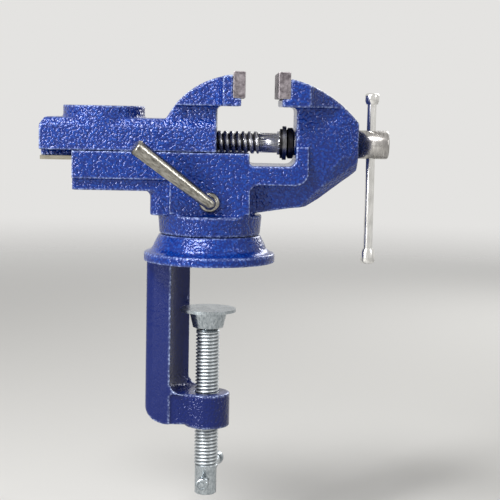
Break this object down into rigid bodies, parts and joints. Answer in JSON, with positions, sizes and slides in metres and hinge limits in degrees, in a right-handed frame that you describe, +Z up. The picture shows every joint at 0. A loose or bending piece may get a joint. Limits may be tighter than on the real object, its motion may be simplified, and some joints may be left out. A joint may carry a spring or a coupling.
{
  "type": "clamp-on table vise",
  "caption": "Small swivelling bench vise with a sliding jaw and anvil, a lead screw with a T-bar, and a C-frame that clamps it to a table edge.",
  "frame": {"origin": "where the swivel axis meets the table top, on the underside of the base flange", "axes": "+Z up along the swivel axis, +X along the beam towards the lead screw's head, -Y towards the lock lever"},
  "size_m": [0.1697, 0.0858, 0.2117],
  "materials": {
    "blue_hammertone": "glossy hammertone paint on cast iron",
    "nickel_plate": "bright nickel plate",
    "zinc_plate": "bright zinc plate",
    "jaw_steel": "milled steel",
    "oiled_steel": "turned steel with a film of oil",
    "dark_steel": "black oxide",
    "bronze": "machined bronze"
  },
  "bodies": {
    "base": {"base_frame": "blue_hammertone"},
    "clamp_pad": {"clamp_pad": "zinc_plate"},
    "clamp_screw": {"clamp_screw": "zinc_plate"},
    "clamp_bar": {"clamp_bar": "zinc_plate", "clamp_knob_front": "zinc_plate", "clamp_knob_back": "zinc_plate"},
    "vise_body": {"vise_body": "blue_hammertone", "fixed_jaw_plate": "jaw_steel", "fixed_jaw_screw_1": "dark_steel", "fixed_jaw_screw_2": "dark_steel"},
    "sliding_jaw": {"sliding_jaw": "blue_hammertone", "sliding_jaw_plate": "jaw_steel", "sliding_jaw_screw_1": "dark_steel", "sliding_jaw_screw_2": "dark_steel", "keeper_plate": "jaw_steel", "keeper_screw_1": "dark_steel", "keeper_screw_2": "dark_steel", "keeper_screw_3": "dark_steel", "keeper_screw_4": "dark_steel", "lead_nut": "bronze"},
    "lead_screw": {"lead_screw": "oiled_steel", "thrust_washer": "zinc_plate", "spring_washer_1": "dark_steel", "spring_washer_2": "dark_steel", "retaining_ring": "dark_steel"},
    "handle": {"handle_bar": "nickel_plate", "handle_knob_top": "nickel_plate", "handle_knob_bottom": "nickel_plate"},
    "lock_lever": {"lock_lever": "nickel_plate"}
  },
  "joints": [
    {"name": "swivel", "type": "hinge", "parent": "base", "child": "vise_body", "pos_m": [0, 0, 0.0137], "axis": [0, 0, 1], "continuous": true},
    {"name": "lead_screw_turn", "type": "hinge", "parent": "vise_body", "child": "lead_screw", "pos_m": [0.0719, 0, 0.059], "axis": [-1, 0, 0], "range_deg": [-4081, 1849]},
    {"name": "jaw_slide", "type": "slide", "parent": "vise_body", "child": "sliding_jaw", "axis": [1, 0, 0], "range_m": [-0.034, 0.0154]},
    {"name": "handle_slide", "type": "slide", "parent": "lead_screw", "child": "handle", "axis": [0, 0, 1], "range_m": [-0.0125, 0.0442]},
    {"name": "lock_lever_turn", "type": "hinge", "parent": "vise_body", "child": "lock_lever", "pos_m": [0, -0.02, 0.0303], "axis": [0, -1, 0], "range_deg": [0, 90]},
    {"name": "clamp_feed", "type": "slide", "parent": "base", "child": "clamp_pad", "axis": [0, 0, 1], "range_m": [-0.0315, 0.0235]},
    {"name": "clamp_screw_turn", "type": "hinge", "parent": "clamp_pad", "child": "clamp_screw", "pos_m": [0, 0, -0.0305], "axis": [0, 0, 1], "range_deg": [-6481, 4836]},
    {"name": "clamp_bar_slide", "type": "slide", "parent": "clamp_screw", "child": "clamp_bar", "axis": [0.1323, 0.9912, 0], "range_m": [-0.0317, 0.0028]}
  ],
  "couplings": [
    {"joint": "lead_screw_turn", "follows": "jaw_slide", "rad_per_m": 2094.4},
    {"joint": "clamp_screw_turn", "follows": "clamp_feed", "rad_per_m": 3590.4}
  ]
}
